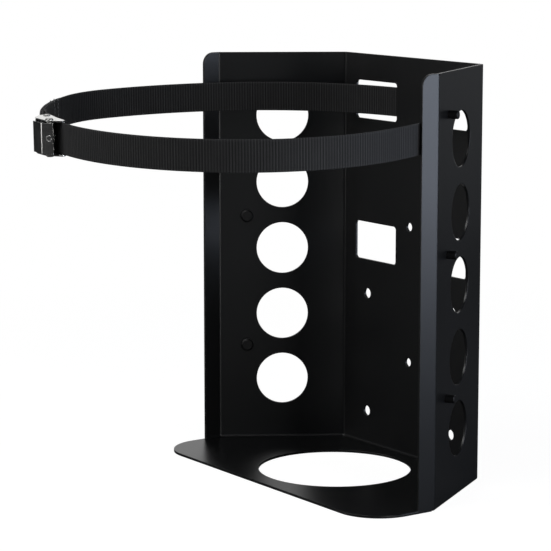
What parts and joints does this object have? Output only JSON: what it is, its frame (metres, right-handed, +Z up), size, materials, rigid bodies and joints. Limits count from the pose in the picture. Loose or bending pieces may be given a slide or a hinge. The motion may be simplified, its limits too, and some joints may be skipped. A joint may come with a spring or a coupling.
{
  "type": "gas cylinder bracket",
  "caption": "Wall bracket that cradles a gas cylinder between splayed perforated side walls on a holed base, with a webbing strap and cam buckle round the front.",
  "frame": {"origin": "middle of the four side fixings, on the face that lies against the wall", "axes": "+Y into the wall, -Y towards the cylinder and the front, +Z up, +X to the right of someone facing the bracket"},
  "size_m": [0.3378, 0.3466, 0.3499],
  "materials": {
    "powder_coat": "satin powder coat",
    "rubber": "moulded",
    "webbing": "ribbed polyester webbing",
    "plated_steel": "bright plated",
    "lever_steel": "bright plated",
    "rivet_steel": "plated",
    "spring_steel": "drawn wire"
  },
  "bodies": {
    "bracket": {"buckle_bar": "rivet_steel", "buckle_frame": "plated_steel", "buckle_pin": "rivet_steel", "buffer_left_1": "rubber", "buffer_left_2": "rubber", "buffer_left_3": "rubber", "buffer_right_1": "rubber", "buffer_right_2": "rubber", "buffer_right_3": "rubber", "cradle": "powder_coat", "lever_spring": "spring_steel", "strap": "webbing"},
    "lever": {"buckle_lever": "lever_steel"}
  },
  "joints": [
    {"name": "lever_pivot", "type": "hinge", "parent": "bracket", "child": "lever", "pos_m": [-0.03399, -0.33603, 0.21361], "axis": [0.0379, -0.0369, 0.9986], "range_deg": [0, 16], "stiffness_Nm_per_rad": 0.08, "springref_deg": -20.05}
  ]
}
